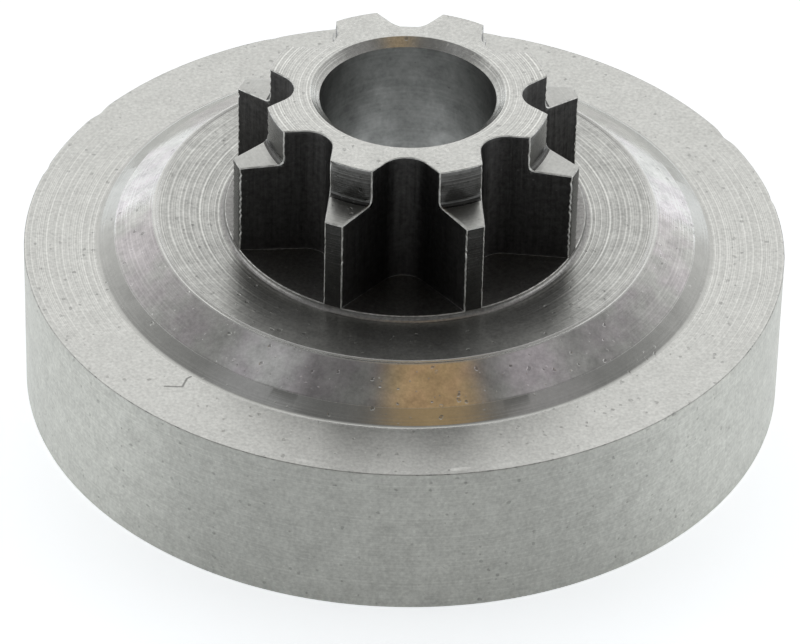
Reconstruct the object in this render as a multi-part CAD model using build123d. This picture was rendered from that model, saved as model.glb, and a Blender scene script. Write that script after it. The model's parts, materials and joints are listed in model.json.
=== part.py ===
"""Clutch drum: a steel cup with a stepped eight-tooth chain sprocket on its closed side.

It is one piece. The whole form is turned from a blank, then the gaps between the teeth are milled.
Sizes are in millimetres. The origin is the centre of the open mouth, which the drum stands on,
and +Z runs along the bore's axis towards the sprocket.
"""

from build123d import *

import os
from math import cos, radians, sin, tan

# Cup that the clutch shoes work in
DRUM_DIAMETER = 61.0
WALL_HEIGHT = 13.2
WALL_THICKNESS = 3.3
WEB_THICKNESS = 3.2
CUP_CORNER_RADIUS = 1.0
MOUTH_CHAMFER = 0.5
OUTER_EDGE_BREAK = 0.2

# Raised centre of the closed side, with a sharp crest and a shallow dish inside it
RIM_FACE_INNER_DIAMETER = 49.2
SHOULDER_ROOT_RADIUS = 0.6
CREST_DIAMETER = 40.3
CREST_RISE = 2.82
DISH_DEPTH = 0.2

# Sprocket: the teeth are cut back to a smaller nose near their top, above a sloping ledge
TOOTH_COUNT = 8
TOOTH_TIP_DIAMETER = 28.86
TOOTH_HEIGHT = 11.35
NOSE_DIAMETER = 22.64
NOSE_HEIGHT = 3.17
LEDGE_SLOPE = 5.5
COLLAR_HEIGHT = 0.48
COLLAR_FOOT_RADIUS = 0.35
GAP_ROOT_DIAMETER = 18.02
GAP_ROOT_RADIUS = 2.04
GAP_ANGLE = 80.2

# Bore for the needle cage
BORE_DIAMETER = 14.0
TOP_CHAMFER_WIDTH = 0.73
TOP_CHAMFER_DEPTH = 0.57
LOWER_CHAMFER = 0.5

# Room for the milling cutter past the faces that it leaves
CUTTER_RUNOUT = 0.5
SAME_PLACE = 0.001

drum_radius = DRUM_DIAMETER / 2
friction_radius = drum_radius - WALL_THICKNESS
cup_floor = WALL_HEIGHT - WEB_THICKNESS
rim_face_inner_radius = RIM_FACE_INNER_DIAMETER / 2
crest_radius = CREST_DIAMETER / 2
crest_level = WALL_HEIGHT + CREST_RISE
dish_level = crest_level - DISH_DEPTH
tip_radius = TOOTH_TIP_DIAMETER / 2
nose_radius = NOSE_DIAMETER / 2
gap_floor = dish_level + COLLAR_HEIGHT
sprocket_top = gap_floor + TOOTH_HEIGHT
ledge_inner_level = sprocket_top - NOSE_HEIGHT
ledge_outer_level = ledge_inner_level - (tip_radius - nose_radius) * tan(radians(LEDGE_SLOPE))
bore_radius = BORE_DIAMETER / 2


def ring_edge(part, radius, level):
    """The one circular edge of a turned part with that radius at that level."""
    return [
        edge
        for edge in part.edges().filter_by(GeomType.CIRCLE)
        if abs(edge.radius - radius) < SAME_PLACE
        and abs(edge.arc_center.Z - level) < SAME_PLACE
    ]


def turned_blank():
    """The drum as it leaves the lathe, with a plain stepped boss where the teeth will be."""
    section = Polyline(
        (drum_radius, 0, 0),
        (drum_radius, 0, WALL_HEIGHT),
        (rim_face_inner_radius, 0, WALL_HEIGHT),
        (crest_radius, 0, crest_level),
        (tip_radius, 0, dish_level),
        (tip_radius, 0, ledge_outer_level),
        (nose_radius, 0, ledge_inner_level),
        (nose_radius, 0, sprocket_top),
        (bore_radius + TOP_CHAMFER_WIDTH, 0, sprocket_top),
        (bore_radius, 0, sprocket_top - TOP_CHAMFER_DEPTH),
        (bore_radius, 0, cup_floor),
        (friction_radius, 0, cup_floor),
        (friction_radius, 0, 0),
        close=True,
    )
    blank = revolve(make_face(section), axis=Axis.Z)
    blank = fillet(ring_edge(blank, rim_face_inner_radius, WALL_HEIGHT), SHOULDER_ROOT_RADIUS)
    blank = fillet(ring_edge(blank, tip_radius, dish_level), COLLAR_FOOT_RADIUS)
    blank = fillet(ring_edge(blank, friction_radius, cup_floor), CUP_CORNER_RADIUS)
    blank = chamfer(ring_edge(blank, bore_radius, cup_floor), LOWER_CHAMFER)
    blank = chamfer(ring_edge(blank, friction_radius, 0), MOUTH_CHAMFER)
    outer_edges = ring_edge(blank, drum_radius, 0) + ring_edge(blank, drum_radius, WALL_HEIGHT)
    return chamfer(outer_edges, OUTER_EDGE_BREAK)


def tooth_gap():
    """What the cutter takes out of one gap, centred on +X: straight flanks and a round root."""
    half_angle = radians(GAP_ANGLE / 2)
    root_x = GAP_ROOT_DIAMETER / 2
    flank_x = root_x + GAP_ROOT_RADIUS * (1 - sin(half_angle))
    flank_y = GAP_ROOT_RADIUS * cos(half_angle)
    outer_x = tip_radius + CUTTER_RUNOUT
    outer_y = flank_y + (outer_x - flank_x) * tan(half_angle)
    flanks = Polyline((flank_x, flank_y), (outer_x, outer_y), (outer_x, -outer_y), (flank_x, -flank_y))
    root = ThreePointArc((flank_x, -flank_y), (root_x, 0), (flank_x, flank_y))
    outline = make_face([*flanks.edges(), root])
    return extrude(Pos(0, 0, gap_floor) * outline, amount=TOOTH_HEIGHT + CUTTER_RUNOUT, dir=(0, 0, 1))


def clutch_drum():
    """The finished drum: the turned blank with its ring of gaps milled."""
    drum = turned_blank() - PolarLocations(0, TOOTH_COUNT) * tooth_gap()
    drum.label = "clutch_drum"
    return drum


os.makedirs("parts", exist_ok=True)
export_step(clutch_drum(), "parts/clutch_drum.step")
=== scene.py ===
"""Clutch drum in bare turned steel, with the studio that it stands in.

The drum is one mesh. The outline of its sprocket is drawn as eight gaps, dropped to the ledge of
each tooth and then to the gap floors, and the rest grows from the collar ring by ring, as a lathe
would leave it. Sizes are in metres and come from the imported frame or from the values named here.
"""

import json
import math
import random

import bmesh
import bpy
from bpy.props import FloatProperty, FloatVectorProperty, IntProperty, PointerProperty
from bpy.types import NodeSocket, Operator, Panel, PropertyGroup
from mathutils import Matrix, Vector


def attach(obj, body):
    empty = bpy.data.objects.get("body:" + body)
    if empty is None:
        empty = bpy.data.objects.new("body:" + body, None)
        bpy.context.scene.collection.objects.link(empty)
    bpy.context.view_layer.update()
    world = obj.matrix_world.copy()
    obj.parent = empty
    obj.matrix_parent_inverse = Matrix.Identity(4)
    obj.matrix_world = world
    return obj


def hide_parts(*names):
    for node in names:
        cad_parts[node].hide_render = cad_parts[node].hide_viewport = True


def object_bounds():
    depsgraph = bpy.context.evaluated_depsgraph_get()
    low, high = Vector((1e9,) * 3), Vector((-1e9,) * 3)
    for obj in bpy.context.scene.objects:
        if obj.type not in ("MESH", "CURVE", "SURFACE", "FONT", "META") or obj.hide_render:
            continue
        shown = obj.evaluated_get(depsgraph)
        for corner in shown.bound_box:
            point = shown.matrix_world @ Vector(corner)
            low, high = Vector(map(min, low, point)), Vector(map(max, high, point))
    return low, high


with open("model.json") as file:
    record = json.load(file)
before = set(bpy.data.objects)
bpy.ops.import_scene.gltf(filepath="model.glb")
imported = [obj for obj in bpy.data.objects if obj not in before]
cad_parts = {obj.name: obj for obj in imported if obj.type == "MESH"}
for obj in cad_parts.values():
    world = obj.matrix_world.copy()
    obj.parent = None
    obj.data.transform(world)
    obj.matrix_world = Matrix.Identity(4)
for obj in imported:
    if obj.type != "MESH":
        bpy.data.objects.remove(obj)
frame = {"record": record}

bl_info = {
    "name": "Clutch drum",
    "version": (1, 0, 0),
    "blender": (4, 5, 0),
    "location": "3D View > Sidebar > Clutch drum",
    "description": "Builds a turned steel clutch drum with a milled sprocket, and its studio",
    "category": "Object",
}

MM = 0.001
ORIGIN = (0, 0, 0)
UP = (0, 0, 1)
CAD_LOW, CAD_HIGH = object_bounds()
NODE = "clutch_drum"
BODY = "root"
MOUNTS = {mount["name"]: mount for mount in frame["record"]["mounts"]}
NEEDLE_BORE = MOUNTS["needle_bore"]["dims"]
SHOE_FACE = MOUNTS["shoe_face"]["dims"]

# The finishes, in the order of the mesh's material slots
FINISHES = (
    "rim", "edge", "wall", "shoulder", "band", "dish", "crest", "face", "ledge", "nose", "flank",
    "floor", "burr", "bore", "cup",
)

# How finely the sprocket's outline and sides, the rounded corners and the wall are divided
ROOT_STEPS = 10
FLANK_STEPS = 10
NOSE_STEPS = 4
TOOTH_LEVELS = 28
NOSE_LEVELS = 9
FOOT_STEPS = 4
CORNER_STEPS = 5
BREAK_STEPS = 3
WALL_RINGS = 12

# How near two places are to count as one, and a corner to count as on a circle
SAME_PLACE = 1e-6
ON_CIRCLE = SAME_PLACE * 10

# How the sides of the sprocket are told apart: cosine to the outward direction, shares of a radius
TURNED_SIDE = 0.985
MILLED_ROOT = 0.97
PAST_BORE = 1.1
UP_TO_TIP = 1.001

# Angles between faces above which the teeth's edges are broken and shading stays crisp
SHARP_EDGE = math.radians(28)
CRISP_EDGE = math.radians(22)

# Upright part of a tooth's tip, between the ledge's outer level and the first level below it
LEDGE_LIP = 0.1 * MM

# Chips on the upright edges: room kept at floor, top and ledge, and the share of every other chip
CHIP_ABOVE_FLOOR = 0.15 * MM
CHIP_BELOW_TOP = 0.2 * MM
CHIP_FROM_LEDGE = 0.4 * MM
SHALLOW_CHIP = 0.2
WEAR_SEED = 8

# Turning marks: distance between ridges and depth, least groove and most ridge as shares of it
DISH_FEED = 0.29 * MM
SHOULDER_FEED = 0.3 * MM
SHOULDER_MARKS = 0.004 * MM
RIM_FEED = 0.3 * MM
WALL_MARKS = 0.004 * MM
WEB_FEED = 2.8 * MM
WEB_MARKS = -0.006 * MM
LEAST_GROOVE = 0.35
MOST_RIDGE = 0.2

# Flat land left round the bore on the web's underside
WEB_LAND = 1.0 * MM

# Stretches of the dish: share of the way out at which each ends, and how strongly it is marked
DISH_STRETCHES = ((0.16, 0.3), (0.84, 1.0), (1.0, 0.5))

# Ridges just inside the crest: distance from the crest and depth below it, in millimetres
CREST_MARKS = ((0.44, 0.03), (0.36, 0.05), (0.28, 0.0), (0.2, 0.05), (0.1, 0.0), (0.0, 0.0))

# Steps outwards and down where the crest breaks to the shoulder, and the shoulder to the band
CREST_LIP = (0.1 * MM, 0.062 * MM)
BAND_STEP = (0.035 * MM, 0.03 * MM)

# Small dents on the rim's outer edge: angle and half width in degrees, depth in millimetres
RIM_NICKS = (
    (163.6, 0.9, 0.10), (146.5, 1.4, 0.16), (30.8, 1.5, 0.18), (13.0, 0.9, 0.10),
    (-6.1, 0.8, 0.09), (-81.1, 0.7, 0.10), (-74.4, 0.6, 0.08), (-167.3, 1.0, 0.10),
    (-104.0, 0.8, 0.05), (75.0, 1.0, 0.07), (-40.0, 0.9, 0.06), (112.0, 0.8, 0.06),
)
NICK_REACH = 0.6 * MM
NICK_DOWNWARDS = 0.7
NICK_INWARDS = 0.6

# A hairline scratch on the rim face: distance from the axis in millimetres, angle in degrees
RIM_SCRATCH = ((27.2, -132.3), (26.3, -130.1), (25.3, -131.1), (24.9, -131.0))
SCRATCH_WIDTH = 0.11
SCRATCH_TONE = 0.45

# Tool lines: their number for each feed, the part of the noise that shows and its two ends
LINES_A_FEED = 1.8
LINE_RANGE = (0.44, 0.72, -0.4, 1)

# Pits and bright specks: how far they change the tone, and their relief in millimetres
PIT_TONE = -0.25
SPECK_TONE = 0.13
SPECK_HEIGHT = 0.5
PIT_DEPTH = 0.016
SPOT_SOFTNESS = 0.06

# Painted reflection: heights in millimetres between which the noses are painted lighter towards the
# top, and their tones there
NOSE_PAINTED_REFLECTION = (24.6, 27.5, 0.75, 1.3)

# How far the cutter's streaks are drawn out: noise across and along the axis
STREAKS = (3.2, 3.2, 0.12)

# Turn that lays stretched reflections across the tool lines, as a share of a full turn
QUARTER_TURN = 0.25

# The camera's film width in millimetres, and how near and far it sees
FILM_WIDTH = 36.0
NEAREST = 0.01
FARTHEST = 20.0

# The pale paper of floor and backdrop, and the shares of the forward direction between which it dims
PAPER_WHITE = (0.955, 0.98, 1)
PAPER_ROUGHNESS = 0.9
PAPER_SHINE = 0.1
FRONT_RANGE = (0.35, 1)
FLOOR_SIDES = 96
FLOOR_DROP = 0.02 * MM

# Soft cards round the drum: direction, half angle and softness in degrees, colour
CARDS = (
    ((0.12, -0.26, 0.955), 9.5, 3.8, (0.5, 0.355, 0.19)),
    ((0.46, 0.01, 0.887), 7.0, 5.0, (0.46, 0.45, 0.46)),
    ((-0.46, 0.01, 0.887), 7.0, 5.0, (0.5, 0.5, 0.515)),
    ((0.96, 0.1, 0.2), 24.0, 6.0, (1.3, 1.3, 1.3)),
    ((-0.96, 0.1, 0.2), 24.0, 6.0, (1.3, 1.3, 1.3)),
)

# Height in degrees of the sky's brightest place, behind the drum
SKY_AIM = 25.0

# Light of the sky by nearness to that place, from 0 opposite it to 1 on it
SKY_STOPS = (
    (0.0, 0.42), (0.12, 0.36), (0.2, 0.16), (0.3, 0.14), (0.55, 0.17), (0.65, 0.21), (0.79, 0.42),
    (0.92, 0.94), (0.96, 1.0), (0.985, 1.03),
)


def size(label, note, millimetres):
    """A length that a user may change, given in millimetres and kept in metres."""
    return FloatProperty(
        name=label, description=note, default=millimetres * MM, unit="LENGTH", precision=5
    )


def turn(label, note, degrees):
    """An angle that a user may change, given in degrees."""
    return FloatProperty(
        name=label, description=note, default=math.radians(degrees), unit="ROTATION"
    )


def colour(label, note, red, green, blue):
    """A colour that a user may change."""
    return FloatVectorProperty(
        name=label, description=note, default=(red, green, blue), subtype="COLOR", min=0, max=1
    )


def share(label, note, value):
    """A plain number from 0 to 1 that a user may change."""
    return FloatProperty(
        name=label, description=note, default=value, min=0, max=1, subtype="FACTOR"
    )


class DrumSizes(PropertyGroup):
    """Radii and levels of the drum, measured from its axis and from the mouth that it stands on."""

    drum_radius: size("Drum radius", "Outside of the wall", (CAD_HIGH.x - CAD_LOW.x) / 2 / MM)
    wall_height: size("Wall height", "Level of the flat rim face", 13.2)
    edge_break: size("Edge break", "Small break on the wall's upper outer edge", 0.05)
    foot_break: size("Foot break", "Break on the wall's lower outer edge", 0.2)
    shoe_radius: size("Shoe radius", "Inside face that the clutch shoes rub on", SHOE_FACE["r_mm"])
    mouth_chamfer: size("Mouth chamfer", "Chamfer at the mouth's inner edge", 0.5)
    cup_floor: size("Cup floor", "Level of the web's underside", 10.0)
    cup_corner: size("Cup corner", "Radius between the shoe face and the web", 1.0)
    rim_inner_radius: size("Rim face inner radius", "Where the rim face meets the shoulder", 24.6)
    shoulder_root: size("Shoulder root", "Fillet at the foot of the shoulder", 0.6)
    band_radius: size("Band radius", "Upper end of the finishing cut at the shoulder's foot", 23.24)
    crest_radius: size("Crest radius", "Sharp crest of the shoulder", 20.15)
    crest_level: size("Crest level", "Height of the crest", 16.02)
    dish_level: size("Dish level", "Height of the dish at the collar", 15.82)
    collar_foot: size("Collar foot", "Fillet at the foot of the collar", 0.35)
    gap_floor: size("Gap floor", "Height of the milled floors between the teeth", 16.3)
    tip_radius: size("Tip radius", "Outside of the teeth", 14.43)
    nose_radius: size("Nose radius", "Outside of the teeth above their ledge", 11.32)
    ledge_inner: size("Ledge inner level", "Height of the ledge at the nose", 24.48)
    ledge_outer: size("Ledge outer level", "Height of the ledge at the tip", 24.18)
    sprocket_top: size("Sprocket top", "Height of the sprocket's end face", CAD_HIGH.z / MM)
    root_radius: size("Root radius", "Distance of the gaps' bottom from the axis", 9.01)
    root_arc: size("Root arc", "Radius of the gaps' bottom", 2.04)
    gap_angle: turn("Gap angle", "Angle between the two flanks of a gap", 80.2)
    bore_radius: size("Bore radius", "Bore for the needle cage", NEEDLE_BORE["r_mm"])
    top_chamfer_width: size("Top chamfer width", "Chamfer at the bore's upper end, across", 0.73)
    top_chamfer_depth: size("Top chamfer depth", "Chamfer at the bore's upper end, down", 0.57)
    lower_chamfer: size("Lower chamfer", "Chamfer at the bore's lower end", 0.5)
    tooth_edge: size("Tooth edge", "Burred break on the edges of the teeth", 0.16)
    ledge_fillet: size("Ledge fillet", "Fillet between a tooth's ledge and its nose", 0.34)
    gap_fillet: size("Gap fillet", "Fillet between a gap's floor and its sides", 0.1)
    tooth_wear: size("Tooth wear", "How far the upright edges of the teeth are chipped", 0.12)
    dish_marks: size("Dish marks", "Depth of the turning marks in the dish", 0.011)
    rim_marks: size("Rim marks", "Depth of the turning marks on the rim face", 0.004)
    teeth: IntProperty(name="Teeth", description="Number of teeth on the sprocket", default=8, min=3)


class DrumFinish(PropertyGroup):
    """Colours and gloss of the drum's steel."""

    bright: colour("Bright steel", "Freshly turned faces", 0.6, 0.602, 0.575)
    rosy: colour("Rosy steel", "Faint heat tint on the shoulder", 0.6, 0.57, 0.575)
    wall: colour("Wall steel", "The wall, which is cut more coarsely", 0.555, 0.563, 0.528)
    nose: colour("Nose steel", "Outsides of the teeth", 0.12, 0.12, 0.116)
    # Painted shade: the flanks are partly the milled steel's own dark colour and partly darkened to
    # stand for the shade inside the gaps
    flank: colour("Flank steel", "The milled sides of the gaps", 0.062, 0.061, 0.06)
    floor: colour("Gap floor steel", "The milled floors of the gaps", 0.34, 0.335, 0.325)
    burr: colour("Burr steel", "Bright broken edges", 0.7, 0.7, 0.675)
    bore: colour("Bore steel", "The ground bore", 0.43, 0.434, 0.427)
    gloss: share("Turned roughness", "Roughness of the turned faces", 0.27)


class StudioSettings(PropertyGroup):
    """Camera and light around the drum."""

    lens: FloatProperty(
        name="Lens", description="Focal length in millimetres", default=271.57, min=1
    )
    distance: FloatProperty(
        name="Distance", description="Camera's distance from the middle of the rim face",
        default=0.48428, unit="LENGTH", min=0.05,
    )
    elevation: turn("Elevation", "Camera's height above the horizon", 36.09)
    sideways: turn("Sideways", "Camera's turn to the side from the middle of the rim face", 0.023)
    upwards: turn("Upwards", "Camera's turn upwards from the middle of the rim face", 0.785)
    roll: turn("Roll", "Camera's turn about its own axis", 1.421)
    floor_radius: size("Floor radius", "Reach of the floor", 3000.0)
    floor: colour("Floor", "Pale floor", 0.9, 0.915, 0.93)
    floor_glow: share("Floor glow", "How much of the floor's white is its own", 0.67)
    backdrop_glow: share("Backdrop glow", "How much of the upturned edge's white is its own", 0.94)
    front_fall: share("Front fall", "How much darker the floor in front shows in the steel", 0.5)
    backdrop_rise: turn("Backdrop rise", "Height of the upturned edge, seen from the drum", 10.5)


def finish_slot(name):
    """The mesh's material slot for a finish."""
    return FINISHES.index(name)


def of_kind(parts, kind):
    """The members of a mixed list of mesh parts that are of one kind."""
    return [part for part in parts if isinstance(part, kind)]


def ring_of(edges, radius):
    """The edges whose two ends lie on a circle round the axis."""
    return [
        edge for edge in edges
        if all(abs(corner.co.xy.length - radius) < ON_CIRCLE for corner in edge.verts)
    ]


def open_edges(bm, sizes):
    """Edges with one face that lie outside the bore."""
    inner = sizes.bore_radius * PAST_BORE
    return [
        edge for edge in bm.edges
        if len(edge.link_faces) == 1 and min(corner.co.xy.length for corner in edge.verts) > inner
    ]


def extrude_loop(bm, loop, finish):
    """Extrudes edges in place and returns the new corners and the edges between them."""
    grown = bmesh.ops.extrude_edge_only(bm, edges=loop)["geom"]
    corners = of_kind(grown, bmesh.types.BMVert)
    for face in of_kind(grown, bmesh.types.BMFace):
        face.material_index = finish_slot(finish)
    fresh = set(corners)
    edges = [edge for edge in of_kind(grown, bmesh.types.BMEdge) if set(edge.verts) <= fresh]
    return corners, edges


def grow_ring(bm, loop, radius, level, finish):
    """Turns one more step of the drum's profile: a ring is extruded to a new radius and level."""
    corners, edges = extrude_loop(bm, loop, finish)
    scale = radius / corners[0].co.xy.length
    reach = Matrix.Diagonal((scale, scale, 1, 1))
    lift = Matrix.Translation((0, 0, level - corners[0].co.z))
    bmesh.ops.transform(bm, matrix=lift @ reach, verts=corners)
    return edges


def drop_to(bm, loop, level, finish):
    """Extrudes a loop straight down to a level."""
    corners, edges = extrude_loop(bm, loop, finish)
    for corner in corners:
        corner.co.z = level
    return edges


def flank_run(foot, along, radius):
    """How far a gap's straight flank runs from its foot until it reaches a radius."""
    lead = foot.dot(along)
    return math.sqrt(lead * lead - foot.length_squared + radius ** 2) - lead


def sprocket_outline(bm, sizes):
    """Draws the closed outline of the sprocket's end face: gaps with round roots, noses between."""
    level = sizes.sprocket_top
    half_angle = sizes.gap_angle / 2
    along = Vector((math.cos(half_angle), math.sin(half_angle)))
    centre = Vector((sizes.root_radius + sizes.root_arc, 0, level))
    root = bm.verts.new((sizes.root_radius, 0, level))
    arc = bmesh.ops.spin(
        bm, geom=[root], cent=centre, axis=UP, angle=half_angle - math.pi / 2, steps=ROOT_STEPS
    )
    corner = of_kind(arc["geom_last"], bmesh.types.BMVert)[0]
    run = flank_run(corner.co.xy, along, sizes.nose_radius)
    for _ in range(FLANK_STEPS):
        corner = bmesh.ops.extrude_vert_indiv(bm, verts=[corner])["verts"][0]
        bmesh.ops.translate(bm, vec=(along * run / FLANK_STEPS).to_3d(), verts=[corner])
    nose_turn = math.pi / sizes.teeth - math.atan2(corner.co.y, corner.co.x)
    bmesh.ops.spin(bm, geom=[corner], cent=ORIGIN, axis=UP, angle=nose_turn, steps=NOSE_STEPS)
    half = bm.verts[:] + bm.edges[:]
    bmesh.ops.mirror(bm, geom=half, matrix=Matrix(), merge_dist=SAME_PLACE, axis="Y")
    pitch = bm.verts[:] + bm.edges[:]
    last = sizes.teeth - 1
    bmesh.ops.spin(
        bm, geom=pitch, cent=ORIGIN, axis=UP, angle=math.tau * last / sizes.teeth, steps=last,
        use_duplicate=True,
    )
    bmesh.ops.remove_doubles(bm, verts=bm.verts[:], dist=SAME_PLACE)
    return bm.edges[:]


def cut_bore(bm, sizes, outline):
    """Closes the end face between its outline and the bore, and turns the bore down to the web."""
    rim = bmesh.ops.create_circle(
        bm, segments=len(outline), radius=sizes.bore_radius + sizes.top_chamfer_width,
        matrix=Matrix.Translation((0, 0, sizes.sprocket_top)),
    )
    ring = list(dict.fromkeys(edge for corner in rim["verts"] for edge in corner.link_edges))
    end_face = bmesh.ops.bridge_loops(bm, edges=outline + ring)
    for face in end_face["faces"]:
        face.material_index = finish_slot("face")
    chamfer_end = sizes.sprocket_top - sizes.top_chamfer_depth
    ring = grow_ring(bm, ring, sizes.bore_radius, chamfer_end, "face")
    ring = grow_ring(bm, ring, sizes.bore_radius, sizes.cup_floor + sizes.lower_chamfer, "bore")
    return grow_ring(bm, ring, sizes.bore_radius + sizes.lower_chamfer, sizes.cup_floor, "bore")


def cut_ledges(bm, sizes, loop):
    """Runs the ledge of every tooth from its nose out to its tip."""
    corners, _ = extrude_loop(bm, ring_of(loop, sizes.nose_radius), "ledge")
    pitch = math.tau / sizes.teeth
    half_angle = sizes.gap_angle / 2
    along = Vector((math.cos(half_angle), math.sin(half_angle)))
    foot = Vector((
        sizes.root_radius + sizes.root_arc * (1 - math.sin(half_angle)),
        sizes.root_arc * math.cos(half_angle),
    ))

    def half_tooth(radius):
        """Half the angle that a tooth takes up at a radius."""
        reach = foot + along * flank_run(foot, along, radius)
        return pitch / 2 - math.atan2(reach.y, reach.x)

    narrowing = half_tooth(sizes.tip_radius) / half_tooth(sizes.nose_radius)
    for corner in corners:
        angle = math.atan2(corner.co.y, corner.co.x)
        middle = (math.floor(angle / pitch) + 0.5) * pitch
        angle = middle + (angle - middle) * narrowing
        corner.co = (
            sizes.tip_radius * math.cos(angle), sizes.tip_radius * math.sin(angle), sizes.ledge_outer
        )


def drop_teeth(bm, sizes, outline):
    """Carries the outline down to the ledges, and from their tips down to the gap floors."""
    loop = outline
    for level in range(1, NOSE_LEVELS + 1):
        drop = (sizes.sprocket_top - sizes.ledge_inner) * level / NOSE_LEVELS
        loop = drop_to(bm, loop, sizes.sprocket_top - drop, "nose")
    cut_ledges(bm, sizes, loop)
    loop = open_edges(bm, sizes)
    start = sizes.ledge_outer - LEDGE_LIP
    for level in range(TOOTH_LEVELS + 1):
        drop = (start - sizes.gap_floor) * level / TOOTH_LEVELS
        loop = drop_to(bm, loop, start - drop, "nose")
    bm.normal_update()


def name_flanks(bm, sizes):
    """Gives the milled sides of the gaps their own finish, apart from the turned noses and tips."""
    for face in bm.faces:
        if face.material_index != finish_slot("nose"):
            continue
        middle = face.calc_center_median().xy
        outward = middle.normalized().dot(face.normal.xy.normalized())
        if abs(outward) < TURNED_SIDE or middle.length < sizes.nose_radius * MILLED_ROOT:
            face.material_index = finish_slot("flank")


def chip_corners(bm, sizes, draw):
    """Chips the upright edges of the teeth, where the cutter has broken out."""
    pair = {finish_slot("flank"), finish_slot("nose")}
    low = sizes.gap_floor + CHIP_ABOVE_FLOOR
    high = sizes.sprocket_top - CHIP_BELOW_TOP
    upright = [
        corner for corner in bm.verts
        if {face.material_index for face in corner.link_faces} == pair
        and low < corner.co.z < high and abs(corner.co.z - sizes.ledge_outer) > CHIP_FROM_LEDGE
    ]
    upright.sort(key=lambda corner: (round(math.atan2(corner.co.y, corner.co.x), 3), corner.co.z))
    for index, corner in enumerate(upright):
        chip = sizes.tooth_wear * draw.random() * (1 if index % 2 else SHALLOW_CHIP)
        corner.co.xy *= 1 - chip / corner.co.xy.length


def mill_gap_floors(bm, sizes):
    """Lays a flat floor in every gap, out to the collar, and returns the collar's ring."""
    pitch = math.tau / sizes.teeth
    low = open_edges(bm, sizes)
    tip_edges = ring_of(low, sizes.tip_radius)
    on_tips = set(tip_edges)
    gap_edges = [edge for edge in low if edge not in on_tips]
    tip_corners = {corner for edge in tip_edges for corner in edge.verts}
    gap_corners = {corner for edge in gap_edges for corner in edge.verts}
    starts = tip_corners & gap_corners
    steps = len(low) // sizes.teeth - len(tip_edges) // sizes.teeth

    def in_gap(corners, middle):
        """Whether corners lie, all in all, within half a pitch of a gap's middle."""
        place = sum((corner.co.xy for corner in corners), Vector((0, 0)))
        return place.normalized().dot(middle) > math.cos(pitch / 2)

    collar = list(tip_edges)
    for index in range(sizes.teeth):
        middle = Matrix.Rotation(index * pitch, 2) @ Vector((1, 0))
        near = [corner for corner in starts if in_gap([corner], middle)]
        first, last = sorted(near, key=lambda corner: middle.to_3d().cross(corner.co).z)
        sweep = first.co.xy.angle(last.co.xy)
        known = set(bm.edges)
        arc = bmesh.ops.spin(bm, geom=[first], cent=ORIGIN, axis=UP, angle=sweep, steps=steps)
        end = of_kind(arc["geom_last"], bmesh.types.BMVert)[0]
        bmesh.ops.weld_verts(bm, targetmap={end: last})
        arc_edges = [edge for edge in bm.edges if edge not in known]
        here = [edge for edge in gap_edges if in_gap(edge.verts, middle)]
        floor = bmesh.ops.edgeloop_fill(bm, edges=here + arc_edges)
        for face in floor["faces"]:
            face.material_index = finish_slot("floor")
        collar += arc_edges
    return collar


def faced(start, end, feed, depth, draw):
    """Points of a faced surface: ridges one feed apart, with a groove of uneven depth between."""
    run = math.dist(start, end)
    count = 2 * max(1, round(run / feed))
    for step in range(1, count):
        part = step / count
        radius = start[0] + (end[0] - start[0]) * part
        level = start[1] + (end[1] - start[1]) * part
        if step % 2:
            cut = depth * (LEAST_GROOVE + (1 - LEAST_GROOVE) * draw.random())
        else:
            cut = depth * MOST_RIDGE * draw.random()
        yield radius, level - cut
    yield end


def rounded(before, corner, after, radius, steps):
    """Points of a fillet of that radius where two straight runs of the profile meet."""
    before, corner, after = Vector(before), Vector(corner), Vector(after)
    one, two = (before - corner).normalized(), (after - corner).normalized()
    half = one.angle(two) / 2
    centre = corner + (one + two).normalized() * (radius / math.sin(half))
    first = corner + one * (radius / math.tan(half)) - centre
    sweep = first.angle_signed(corner + two * (radius / math.tan(half)) - centre)
    for step in range(steps + 1):
        yield tuple(centre + Matrix.Rotation(-sweep * step / steps, 2) @ first)


def level_at(start, end, radius):
    """Height of a straight run of the profile at a radius."""
    return start[1] + (end[1] - start[1]) * (radius - start[0]) / (end[0] - start[0])


def dish_profile(sizes, draw):
    """The collar's foot, the marked dish and the ridges up to the crest."""
    collar = (sizes.tip_radius, sizes.gap_floor)
    foot = (sizes.tip_radius, sizes.dish_level)
    crest = (sizes.crest_radius, sizes.crest_level)
    fillet = list(rounded(collar, foot, crest, sizes.collar_foot, FOOT_STEPS))
    for point in fillet:
        yield point, "floor"
    start = fillet[-1]
    reach = crest[0] - CREST_MARKS[0][0] * MM - foot[0]
    for part, force in DISH_STRETCHES:
        radius = foot[0] + reach * part
        end = (radius, level_at(foot, crest, radius))
        for point in faced(start, end, DISH_FEED, sizes.dish_marks * force, draw):
            yield point, "dish"
        start = end
    for back, drop in CREST_MARKS[1:]:
        yield (crest[0] - back * MM, crest[1] - drop * MM), "crest"


def shoulder_profile(sizes, draw):
    """The crest's lip, the shoulder, the band at its foot and the rim face."""
    crest = (sizes.crest_radius, sizes.crest_level)
    root = (sizes.rim_inner_radius, sizes.wall_height)
    rim = (sizes.drum_radius - sizes.edge_break, sizes.wall_height)
    lip = (crest[0] + CREST_LIP[0], crest[1] - CREST_LIP[1])
    band = (sizes.band_radius, level_at(crest, root, sizes.band_radius))
    yield lip, "crest"
    for point in faced(lip, band, SHOULDER_FEED, SHOULDER_MARKS, draw):
        yield point, "shoulder"
    yield (band[0] + BAND_STEP[0], band[1] - BAND_STEP[1]), "crest"
    fillet = list(rounded(band, root, rim, sizes.shoulder_root, CORNER_STEPS))
    for point in fillet:
        yield point, "band"
    for point in faced(fillet[-1], rim, RIM_FEED, sizes.rim_marks, draw):
        yield point, "rim"


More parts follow.
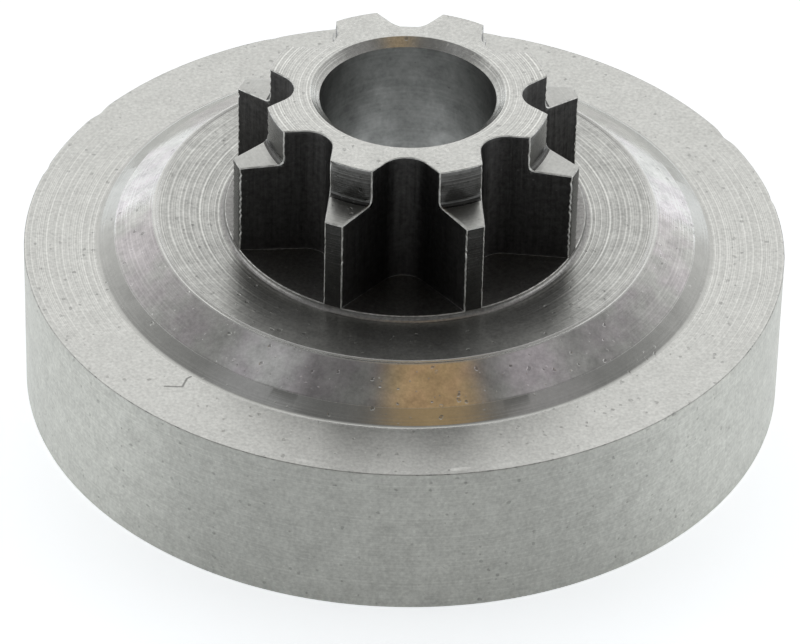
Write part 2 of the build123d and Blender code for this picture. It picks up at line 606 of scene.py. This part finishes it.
def wall_profile(sizes, draw):
    """The rim's broken edge, the wall and the break at its foot."""
    radius = sizes.drum_radius
    top = sizes.wall_height - sizes.edge_break
    yield (radius, top), "edge"
    for step in range(1, WALL_RINGS):
        level = top + (sizes.foot_break - top) * step / WALL_RINGS
        yield (radius - WALL_MARKS * draw.random(), level), "wall"
    yield (radius, sizes.foot_break), "wall"
    yield (radius - sizes.foot_break, 0), "wall"


def cup_profile(sizes, draw):
    """The mouth, the shoe face and the web's underside, as far as the land round the bore."""
    mouth = sizes.shoe_radius + sizes.mouth_chamfer
    corner = (sizes.shoe_radius, sizes.cup_floor)
    bore_end = (sizes.bore_radius + sizes.lower_chamfer, sizes.cup_floor)
    land = (bore_end[0] + WEB_LAND, sizes.cup_floor)
    yield (mouth, 0), "cup"
    yield (sizes.shoe_radius, sizes.mouth_chamfer), "cup"
    fillet = list(rounded((sizes.shoe_radius, 0), corner, bore_end, sizes.cup_corner, CORNER_STEPS))
    for point in fillet:
        yield point, "cup"
    for point in faced(fillet[-1], land, WEB_FEED, WEB_MARKS, draw):
        yield point, "cup"


def turn_drum(bm, sizes, draw, collar, bore_end):
    """Turns the drum from the collar out over the rim, down the wall and inside to the bore."""
    ring = collar
    for part in (dish_profile, shoulder_profile, wall_profile, cup_profile):
        for (radius, level), finish in part(sizes, draw):
            ring = grow_ring(bm, ring, radius, level, finish)
    closing = bmesh.ops.bridge_loops(bm, edges=ring + bore_end)
    for face in closing["faces"]:
        face.material_index = finish_slot("cup")
    bmesh.ops.recalc_face_normals(bm, faces=bm.faces[:])


def sharp_edges(bm, sizes, convex, at_ledge):
    """Sharp edges of the teeth that stand out or lie in a corner, at the ledges, off them or both."""
    low = sizes.gap_floor - ON_CIRCLE
    inner = sizes.bore_radius + sizes.top_chamfer_width + ON_CIRCLE
    outer = sizes.tip_radius * UP_TO_TIP
    ledge, burr = finish_slot("ledge"), finish_slot("burr")
    for edge in bm.edges:
        if len(edge.link_faces) != 2 or edge.is_convex != convex:
            continue
        finishes = {face.material_index for face in edge.link_faces}
        on_teeth = all(
            corner.co.z > low and inner < corner.co.xy.length < outer for corner in edge.verts
        )
        if (
            on_teeth and burr not in finishes and edge.calc_face_angle() > SHARP_EDGE
            and at_ledge in (None, ledge in finishes)
        ):
            yield edge


def break_edges(bm, sizes):
    """Fills the corners at the ledges, breaks the sharp edges and fills the corners of the gaps."""
    for convex, at_ledge, width, finish in (
        (False, True, sizes.ledge_fillet, "nose"),
        (True, None, sizes.tooth_edge, "burr"),
        (False, False, sizes.gap_fillet, "floor"),
    ):
        bm.normal_update()
        cut = bmesh.ops.bevel(
            bm, geom=list(sharp_edges(bm, sizes, convex, at_ledge)), offset=width,
            offset_type="OFFSET", affect="EDGES", segments=BREAK_STEPS, profile=0.5, material=-1,
            clamp_overlap=True,
        )
        for face in cut["faces"]:
            face.material_index = finish_slot(finish)


def nick_rim(bm, sizes):
    """Dents the rim's outer edge in a few places."""
    inner = sizes.drum_radius - NICK_REACH
    low = sizes.wall_height - NICK_REACH
    for corner in bm.verts:
        if corner.co.xy.length < inner or corner.co.z < low:
            continue
        angle = math.degrees(math.atan2(corner.co.y, corner.co.x))
        for place, width, depth in RIM_NICKS:
            away = (angle - place + 180) % 360 - 180
            dent = depth * MM * math.exp(-((away / width) ** 2))
            corner.co.z -= dent * NICK_DOWNWARDS
            corner.co.xy *= 1 - dent * NICK_INWARDS / sizes.drum_radius


def shade_crisply(bm):
    """Shades the faces smooth, apart from crisp edges, and stops if the mesh isn't closed."""
    bmesh.ops.recalc_face_normals(bm, faces=bm.faces[:])
    for face in bm.faces:
        face.smooth = True
    for edge in bm.edges:
        if len(edge.link_faces) == 2 and edge.calc_face_angle() > CRISP_EDGE:
            edge.smooth = False
    loose = [edge for edge in bm.edges if len(edge.link_faces) != 2]
    if loose:
        raise RuntimeError(f"the drum's mesh is open along {len(loose)} edges")


class Nodes:
    """Short ways to add and link the nodes of a material or a world."""

    def __init__(self, tree):
        self.tree = tree

    def add(self, kind, **settings):
        """A new node, with its own settings."""
        node = self.tree.nodes.new(kind)
        for name, value in settings.items():
            setattr(node, name, value)
        return node

    def feed(self, socket, value):
        """Links a socket to another's output, or sets its value."""
        if isinstance(value, NodeSocket):
            self.tree.links.new(value, socket)
        else:
            socket.default_value = value

    def vector(self, operation, first, second=None, scale=None):
        """A vector worked out from others, or a number for their length or product."""
        node = self.add("ShaderNodeVectorMath", operation=operation)
        self.feed(node.inputs[0], first)
        if second is not None:
            self.feed(node.inputs[1], second)
        if scale is not None:
            self.feed(node.inputs["Scale"], scale)
        return node.outputs["Value" if operation in ("LENGTH", "DOT_PRODUCT") else "Vector"]

    def maths(self, operation, *values, clamp=False):
        """A number worked out from others."""
        node = self.add("ShaderNodeMath", operation=operation, use_clamp=clamp)
        for socket, value in zip(node.inputs, values):
            self.feed(socket, value)
        return node.outputs[0]

    def ranged(self, value, low, high, new_low=0.0, new_high=1.0, blend="LINEAR"):
        """A number moved from one range to another and held inside it."""
        node = self.add("ShaderNodeMapRange", clamp=True, interpolation_type=blend)
        names = ("Value", "From Min", "From Max", "To Min", "To Max")
        for name, setting in zip(names, (value, low, high, new_low, new_high)):
            self.feed(node.inputs[name], setting)
        return node.outputs["Result"]

    def tinted(self, amount, first, second):
        """A mix of two colours."""
        node = self.add("ShaderNodeMix", data_type="RGBA")
        self.feed(node.inputs["Factor"], amount)
        sockets = [socket for socket in node.inputs if socket.type == "RGBA"]
        for socket, value in zip(sockets, (first, second)):
            self.feed(socket, value if isinstance(value, NodeSocket) else (*value, 1))
        return [socket for socket in node.outputs if socket.type == "RGBA"][0]


class Steel(Nodes):
    """The node tree of one finish of the drum's steel."""

    def __init__(self, name, tint, roughness, spread=0.0):
        self.material = bpy.data.materials.new(name)
        self.material.use_nodes = True
        super().__init__(self.material.node_tree)
        self.shader = self.tree.nodes["Principled BSDF"]
        self.shader.inputs["Metallic"].default_value = 1
        self.shader.inputs["Base Color"].default_value = (*tint, 1)
        self.shader.inputs["Roughness"].default_value = roughness
        place = self.add("ShaderNodeTexCoord").outputs["Object"]
        self.place = self.vector("SCALE", place, scale=1 / MM)
        if spread:
            self.shader.inputs["Anisotropic"].default_value = spread
            self.shader.inputs["Anisotropic Rotation"].default_value = QUARTER_TURN
            round_axis = self.add("ShaderNodeTangent", direction_type="RADIAL", axis="Z")
            self.feed(self.shader.inputs["Tangent"], round_axis.outputs["Tangent"])

    def flat(self):
        """The place in millimetres, without its height."""
        return self.vector("MULTIPLY", self.place, (1, 1, 0))

    def radius(self):
        """Distance from the axis in millimetres."""
        return self.vector("LENGTH", self.flat())

    def part(self, vector, axis):
        """One of the three parts of a vector."""
        split = self.add("ShaderNodeSeparateXYZ")
        self.feed(split.inputs[0], vector)
        return split.outputs[axis]

    def height(self):
        """Height above the mouth in millimetres."""
        return self.part(self.place, "Z")

    def sides(self, low, high):
        """How far a place lies to the drum's left or right, from 0 to 1, for tool lines painted as
        sheen.
        """
        outward = self.vector("NORMALIZE", self.flat())
        return self.ranged(self.maths("ABSOLUTE", self.part(outward, "X")), low, high)

    def lines(self, along, scale):
        """Noise in one direction only, for the marks that a tool leaves."""
        node = self.add("ShaderNodeTexNoise", noise_dimensions="1D")
        self.feed(node.inputs["W"], along)
        node.inputs["Scale"].default_value = scale
        node.inputs["Detail"].default_value = 1
        return node.outputs["Fac"]

    def noise(self, scale, detail, roughness=0.5, place=None):
        """A node of noise in all directions."""
        node = self.add("ShaderNodeTexNoise")
        self.feed(node.inputs["Vector"], self.place if place is None else place)
        node.inputs["Scale"].default_value = scale
        node.inputs["Detail"].default_value = detail
        node.inputs["Roughness"].default_value = roughness
        return node

    def grain(self, scale, detail, roughness, place=None):
        """Noise in all directions, as a number."""
        return self.noise(scale, detail, roughness, place).outputs["Fac"]

    def wavy(self, scale, reach):
        """A place pushed about by noise, so that spots laid on it come out ragged."""
        push = self.noise(scale, detail=1).outputs["Color"]
        return self.vector("ADD", self.place, self.vector("SCALE", push, scale=reach))

    def swing(self, noise, low=0.3, high=0.7):
        """Noise drawn out to run from -1 to 1."""
        return self.ranged(noise, low, high, -1, 1)

    def scratch(self, points, width):
        """A hairline along points given by radius and angle: 1 on it, 0 off it."""
        flat = self.flat()
        spots = [
            Matrix.Rotation(math.radians(angle), 2) @ Vector((radius, 0)) for radius, angle in points
        ]
        line = None
        for start, end in zip(spots, spots[1:]):
            run = (end - start).to_3d()
            away = self.vector("SUBTRACT", flat, start.to_3d())
            lead = self.vector("DOT_PRODUCT", away, run)
            part = self.maths("DIVIDE", lead, run.length_squared, clamp=True)
            gap = self.vector("SUBTRACT", away, self.vector("SCALE", run, scale=part))
            mark = self.ranged(self.vector("LENGTH", gap), width / 2, width, 1, 0)
            line = mark if line is None else self.maths("MAXIMUM", line, mark)
        return line

    def spots(self, density, kept, reach, place=None):
        """Small scattered spots of different sizes: 1 inside them, 0 outside."""
        node = self.add("ShaderNodeTexVoronoi", feature="F1")
        self.feed(node.inputs["Vector"], self.place if place is None else place)
        node.inputs["Scale"].default_value = density
        reach = self.ranged(self.part(node.outputs["Color"], "X"), 1 - kept, 1, 0, reach)
        inside = self.maths("SUBTRACT", reach, node.outputs["Distance"])
        return self.ranged(inside, 0, SPOT_SOFTNESS)

    def tone(self, *marks):
        """A tone around 1, from pairs of a mark and the share by which it lightens the steel."""
        tone = 1
        for mark, amount in marks:
            tone = self.maths("MULTIPLY_ADD", mark, amount, tone)
        return tone

    def paint(self, tone, tint):
        """Gives the steel a colour made lighter or darker by a tone around 1."""
        self.feed(self.shader.inputs["Base Color"], self.vector("SCALE", tint, scale=tone))

    def relief(self, height, depth):
        """Bump of that depth in millimetres, laid over what is there already."""
        node = self.add("ShaderNodeBump")
        node.inputs["Strength"].default_value = 1
        node.inputs["Distance"].default_value = depth * MM
        self.feed(node.inputs["Height"], height)
        known = self.shader.inputs["Normal"].links
        if known:
            self.feed(node.inputs["Normal"], known[0].from_socket)
        self.feed(self.shader.inputs["Normal"], node.outputs["Normal"])


def shade(tint, factor):
    """A colour made lighter or darker."""
    return tuple(part * factor for part in tint)


def turned(name, tint, roughness, *, feed, lines, grain, clouds, depth, pits, sides=None,
           along="radius", other=None, spread=0.3, rise=None, scratch=None):
    """Steel with thin tool lines round the axis, a fine grain, pits and faint clouds.

    Feed is the pitch of the lines and depth their relief, both in millimetres. Lines, grain and
    clouds are shares of the tone, and pits is the share of places that have one. Sides are the
    shares of the radius to the left and right between which the lines come in; there the lines are
    painted sheen, kept to where the light picks them out. Along is what the lines follow, and other
    is a second colour in patches. Spread is how far the lines stretch reflections across
    themselves, rise lists two heights and the tones there, a painted reflection that lightens the
    steel towards the top, and scratch lists the points of a hairline.
    """
    steel = Steel(name, tint, roughness, spread)
    across = steel.radius() if along == "radius" else steel.height()
    tool_lines_and_sheen = steel.ranged(steel.lines(across, LINES_A_FEED / feed), *LINE_RANGE)
    # Painted sheen: where sides are given, the tool lines show only to the left and right, where the
    # light picks them out
    if sides:
        tool_lines_and_sheen = steel.maths("MULTIPLY", tool_lines_and_sheen, steel.sides(*sides))
    skin = steel.swing(steel.grain(scale=3.4, detail=2.0, roughness=0.65))
    haze = steel.swing(steel.grain(scale=0.65, detail=4.0, roughness=0.62))
    ragged_place = steel.wavy(scale=3.0, reach=0.3)
    dents = steel.spots(density=1.5, kept=pits, reach=0.3, place=ragged_place)
    specks = steel.spots(density=2.1, kept=pits, reach=0.25, place=ragged_place)
    tone = steel.tone(
        (tool_lines_and_sheen, lines), (skin, grain), (haze, clouds), (dents, PIT_TONE), (specks, SPECK_TONE)
    )
    # Painted reflection: the tone is made lighter towards the top, between the heights that rise
    # gives
    if rise:
        tone = steel.maths("MULTIPLY", tone, steel.ranged(steel.height(), *rise))
    if scratch:
        line = steel.scratch(scratch, SCRATCH_WIDTH)
        tone = steel.maths("MULTIPLY", tone, steel.ranged(line, 0, 1, 1, SCRATCH_TONE))
    if other:
        patches = steel.grain(scale=0.22, detail=3.0, roughness=0.65)
        tint = steel.tinted(steel.ranged(patches, low=0.42, high=0.6), tint, other)
    steel.paint(tone, tint)
    steel.relief(tool_lines_and_sheen, depth)
    raised = steel.maths("MULTIPLY", specks, SPECK_HEIGHT)
    steel.relief(steel.maths("MULTIPLY_ADD", dents, -1, raised), PIT_DEPTH)
    return steel.material


def milled(name, tint, roughness):
    """Dark steel, partly painted shade of the gaps, with upright streaks from the cutter and a
    mottled skin.
    """
    steel = Steel(name, tint, roughness)
    drawn_out = steel.vector("MULTIPLY", steel.place, STREAKS)
    streaks = steel.swing(steel.grain(scale=1.0, detail=3.0, roughness=0.6, place=drawn_out))
    mottle = steel.grain(scale=2.4, detail=4.0, roughness=0.7)
    flecks = steel.spots(density=1.6, kept=0.25, reach=0.18)
    tone = steel.tone((streaks, 0.2), (steel.swing(mottle, low=0.35), 0.3), (flecks, 0.8))
    steel.paint(tone, tint)
    steel.relief(steel.maths("ADD", streaks, mottle), depth=0.006)
    return steel.material


def speckled(name, tint, roughness):
    """Rough milled steel, speckled light and dark."""
    steel = Steel(name, tint, roughness)
    rough = steel.grain(scale=3.6, detail=3.0, roughness=0.75)
    flecks = steel.spots(density=2.6, kept=0.5, reach=0.25)
    tone = steel.tone((steel.swing(rough, low=0.35, high=0.65), 0.22), (flecks, 0.2))
    steel.paint(tone, tint)
    steel.relief(steel.maths("ADD", rough, flecks), depth=0.014)
    return steel.material


def ragged(name, tint, dark, roughness, cover=0.5):
    """A broken edge, bright in places and dark in others; the more cover, the more of it is dark."""
    steel = Steel(name, tint, roughness)
    middle = 0.4 + 0.2 * cover
    softness = 0.08
    bare = steel.grain(scale=1.6, detail=3.0, roughness=0.7)
    bare = steel.ranged(bare, low=middle - softness, high=middle + softness)
    steel.feed(steel.shader.inputs["Base Color"], steel.tinted(bare, dark, tint))
    steel.relief(steel.grain(scale=4.0, detail=2.0, roughness=0.6), depth=0.01)
    return steel.material


def drum_finishes(look):
    """The materials of the mesh, in the order of its slots."""
    bright, gloss, burr = tuple(look.bright), look.gloss, tuple(look.burr)
    made = {
        # Rim, shoulder, dish and end face keep their tool lines to the left and right: painted sheen
        # where the light picks them out
        "rim": turned(
            "rim_steel", bright, gloss * 1.1, feed=0.25, lines=0.22, grain=0.13, clouds=0.05,
            depth=0.003, pits=0.5, sides=(0.82, 0.97), scratch=RIM_SCRATCH,
        ),
        "edge": ragged(
            "rim_edge_steel", shade(bright, 0.9), shade(bright, 0.4), gloss * 2.2, cover=0.15
        ),
        "wall": turned(
            "wall_steel", tuple(look.wall), gloss * 1.6, feed=0.3, lines=0.06, grain=0.12,
            clouds=0.09, depth=0.002, pits=0.45, along="height", spread=0.9,
        ),
        "shoulder": turned(
            "shoulder_steel", bright, gloss * 0.42, feed=0.25, lines=0.12, grain=0.1, clouds=0.18,
            depth=0.0012, pits=0.4, sides=(0.7, 0.95), other=tuple(look.rosy), spread=0,
        ),
        "band": turned(
            "band_steel", shade(bright, 0.84), gloss * 0.6, feed=0.3, lines=0.03, grain=0.05,
            clouds=0.06, depth=0.001, pits=0.1, spread=0,
        ),
        "dish": turned(
            "dish_steel", shade(bright, 0.85), gloss * 1.3, feed=0.3, lines=0.44, grain=0.16,
            clouds=0.14, depth=0.005, pits=0.4, sides=(0.45, 0.92), spread=0,
        ),
        "crest": turned(
            "crest_steel", shade(burr, 0.9), gloss, feed=0.3, lines=0.05, grain=0.06, clouds=0.05,
            depth=0.001, pits=0.1,
        ),
        "face": turned(
            "end_face_steel", bright, gloss, feed=0.27, lines=0.3, grain=0.13, clouds=0.07,
            depth=0.004, pits=0.4, sides=(0.5, 0.9),
        ),
        "ledge": turned(
            "ledge_steel", shade(bright, 0.83), gloss * 1.1, feed=0.3, lines=0.04, grain=0.08,
            clouds=0.08, depth=0.002, pits=0.3, spread=0,
        ),
        # The noses' tone rising with height is a painted reflection
        "nose": turned(
            "nose_steel_painted_reflection", tuple(look.nose), gloss * 0.9, feed=0.3, lines=0.07, grain=0.14,
            clouds=0.15, depth=0.002, pits=0.3, along="height", spread=0, rise=NOSE_PAINTED_REFLECTION,
        ),
        # Painted shade: the flanks' dark tint partly stands for the shade inside the gaps
        "flank": milled("flank_steel_painted_shade", tuple(look.flank), gloss * 1.4),
        "floor": speckled("gap_floor_steel", tuple(look.floor), gloss * 1.3),
        "burr": ragged("burr_steel", burr, shade(bright, 0.75), gloss * 1.6),
        "bore": turned(
            "bore_steel", tuple(look.bore), gloss * 1.1, feed=0.6, lines=0.07, grain=0.09,
            clouds=0.24, depth=0.001, pits=0.1, along="height", spread=0.2,
        ),
        "cup": turned(
            "cup_steel", shade(bright, 0.8), gloss * 1.2, feed=0.4, lines=0.07, grain=0.06,
            clouds=0.06, depth=0.004, pits=0.2,
        ),
    }
    return [made[name] for name in FINISHES]


def new_object(name, bm, materials):
    """A mesh object at the origin, with its place in its mesh."""
    mesh = bpy.data.meshes.new(name)
    bm.to_mesh(mesh)
    bm.free()
    for material in materials:
        mesh.materials.append(material)
    made = bpy.data.objects.new(name, mesh)
    bpy.context.scene.collection.objects.link(made)
    return made


class CLUTCHDRUM_OT_build_drum(Operator):
    """Turns and mills the clutch drum and gives it its steel"""

    bl_idname = "clutchdrum.build_drum"
    bl_label = "Build clutch drum"
    bl_options = {"REGISTER", "UNDO"}

    def execute(self, context):
        sizes = context.scene.drum_sizes
        draw = random.Random(WEAR_SEED)
        bm = bmesh.new()
        outline = sprocket_outline(bm, sizes)
        bore_end = cut_bore(bm, sizes, outline)
        drop_teeth(bm, sizes, outline)
        name_flanks(bm, sizes)
        chip_corners(bm, sizes, draw)
        collar = mill_gap_floors(bm, sizes)
        turn_drum(bm, sizes, draw, collar, bore_end)
        break_edges(bm, sizes)
        nick_rim(bm, sizes)
        shade_crisply(bm)
        drum = new_object("clutch_drum_steel", bm, drum_finishes(context.scene.drum_finish))
        drum.modifiers.new("even_shading", "WEIGHTED_NORMAL").keep_sharp = True
        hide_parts(NODE)
        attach(drum, BODY)
        return {"FINISHED"}


def look_from(settings, sizes):
    """Places the camera at the photograph's viewing angle."""
    aim = Vector((0, 0, sizes.wall_height))
    rise = settings.elevation
    forward = Vector((0, math.cos(rise), -math.sin(rise)))
    right = Vector((1, 0, 0))
    spin = (
        Matrix.Rotation(settings.roll, 3, "Z")
        @ Matrix.Rotation(settings.upwards, 3, "X")
        @ Matrix.Rotation(settings.sideways, 3, "Y")
    )
    rows = spin @ Matrix((right, forward.cross(right), forward))
    axes = Matrix((rows[0], -rows[1], -rows[2])).transposed()
    camera = bpy.data.objects.new("camera", bpy.data.cameras.new("camera"))
    bpy.context.scene.collection.objects.link(camera)
    camera.matrix_world = Matrix.Translation(aim - forward * settings.distance) @ axes.to_4x4()
    camera.data.lens = settings.lens
    camera.data.sensor_fit = "HORIZONTAL"
    camera.data.sensor_width = FILM_WIDTH
    camera.data.clip_start = NEAREST
    camera.data.clip_end = FARTHEST
    bpy.context.scene.camera = camera


def paper(name, settings, glow):
    """Pale paper that shows white, and less so in the steel where it lies in front of the drum."""
    material = bpy.data.materials.new(name)
    material.use_nodes = True
    nodes = Nodes(material.node_tree)
    shader = nodes.tree.nodes["Principled BSDF"]
    shader.inputs["Base Color"].default_value = (*settings.floor, 1)
    shader.inputs["Roughness"].default_value = PAPER_ROUGHNESS
    shader.inputs["Specular IOR Level"].default_value = PAPER_SHINE
    shader.inputs["Emission Color"].default_value = (*PAPER_WHITE, 1)
    away = nodes.vector("NORMALIZE", nodes.add("ShaderNodeTexCoord").outputs["Object"])
    front = nodes.vector("DOT_PRODUCT", away, (0, -1, 0))
    dim = nodes.ranged(front, *FRONT_RANGE, 1, 1 - settings.front_fall, blend="SMOOTHSTEP")
    path = nodes.add("ShaderNodeLightPath").outputs
    seen = nodes.maths("MULTIPLY", path["Is Glossy Ray"], dim)
    for ray in ("Is Camera Ray", "Is Transmission Ray"):
        seen = nodes.maths("MAXIMUM", seen, path[ray])
    nodes.feed(shader.inputs["Emission Strength"], nodes.maths("MULTIPLY", seen, glow))
    return material


def lay_floor(settings):
    """A pale floor with a low upturned edge, which shows white and keeps the drum's soft shadow."""
    bm = bmesh.new()
    bmesh.ops.create_circle(
        bm, cap_ends=True, segments=FLOOR_SIDES, radius=settings.floor_radius,
        matrix=Matrix.Translation((0, 0, -FLOOR_DROP)),
    )
    rim = [edge for edge in bm.edges if len(edge.link_faces) == 1]
    raised = bmesh.ops.extrude_edge_only(bm, edges=rim)["geom"]
    rise = settings.floor_radius * math.tan(settings.backdrop_rise)
    bmesh.ops.translate(bm, vec=(0, 0, rise), verts=of_kind(raised, bmesh.types.BMVert))
    for face in of_kind(raised, bmesh.types.BMFace):
        face.material_index = 1
    papers = [
        paper("floor_paper", settings, settings.floor_glow),
        paper("backdrop_paper", settings, settings.backdrop_glow),
    ]
    new_object("studio_floor", bm, papers)


def light_studio():
    """Soft light that is strongest from behind the drum and falls away towards the camera."""
    world = bpy.data.worlds.new("studio")
    bpy.context.scene.world = world
    world.use_nodes = True
    nodes = Nodes(world.node_tree)
    place = nodes.add("ShaderNodeTexCoord").outputs["Generated"]

    def nearness(direction):
        """Cosine of the angle between a place in the sky and a direction."""
        return nodes.vector("DOT_PRODUCT", place, Vector(direction).normalized())

    aim = math.radians(SKY_AIM)
    ramp = nodes.add("ShaderNodeValToRGB")
    behind = nearness((0, math.cos(aim), math.sin(aim)))
    nodes.feed(ramp.inputs["Fac"], nodes.ranged(behind, -1, 1))
    band = ramp.color_ramp
    while len(band.elements) < len(SKY_STOPS):
        band.elements.new(0.5)
    for element, (spot, level) in zip(band.elements, SKY_STOPS):
        element.position = spot
        element.color = (level, level, level, 1)
    light = ramp.outputs["Color"]
    for direction, half_angle, softness, tint in CARDS:
        edge = [math.cos(math.radians(half_angle + way * softness)) for way in (1, -1)]
        card = nodes.ranged(nearness(direction), *edge, blend="SMOOTHSTEP")
        light = nodes.tinted(card, light, tint)
    nodes.feed(nodes.tree.nodes["Background"].inputs["Color"], light)


class CLUTCHDRUM_OT_set_stage(Operator):
    """Sets up the floor, the light and the camera around the drum"""

    bl_idname = "clutchdrum.set_stage"
    bl_label = "Set stage"
    bl_options = {"REGISTER", "UNDO"}

    def execute(self, context):
        settings = context.scene.drum_studio
        look_from(settings, context.scene.drum_sizes)
        lay_floor(settings)
        light_studio()
        context.scene.view_settings.view_transform = "Standard"
        return {"FINISHED"}


class CLUTCHDRUM_PT_sidebar(Panel):
    """Lists the drum's sizes, finish and studio with the steps that build them"""

    bl_idname = "CLUTCHDRUM_PT_sidebar"
    bl_label = "Clutch drum"
    bl_space_type = "VIEW_3D"
    bl_region_type = "UI"
    bl_category = "Clutch drum"

    def draw(self, context):
        for group in ("drum_sizes", "drum_finish", "drum_studio"):
            values = getattr(context.scene, group)
            column = self.layout.column(align=True)
            for name in values.__annotations__:
                column.prop(values, name)
        self.layout.operator(CLUTCHDRUM_OT_build_drum.bl_idname)
        self.layout.operator(CLUTCHDRUM_OT_set_stage.bl_idname)


CLASSES = (
    DrumSizes,
    DrumFinish,
    StudioSettings,
    CLUTCHDRUM_OT_build_drum,
    CLUTCHDRUM_OT_set_stage,
    CLUTCHDRUM_PT_sidebar,
)


def register():
    """Adds the drum's settings, steps and sidebar."""
    for item in CLASSES:
        bpy.utils.register_class(item)
    bpy.types.Scene.drum_sizes = PointerProperty(type=DrumSizes)
    bpy.types.Scene.drum_finish = PointerProperty(type=DrumFinish)
    bpy.types.Scene.drum_studio = PointerProperty(type=StudioSettings)


def unregister():
    """Takes the drum's settings, steps and sidebar away again."""
    del bpy.types.Scene.drum_studio
    del bpy.types.Scene.drum_finish
    del bpy.types.Scene.drum_sizes
    for item in reversed(CLASSES):
        bpy.utils.unregister_class(item)


def main():
    """Builds the drum and its stage."""
    register()
    bpy.ops.clutchdrum.build_drum()
    bpy.ops.clutchdrum.set_stage()


if __name__ == "__main__":
    main()
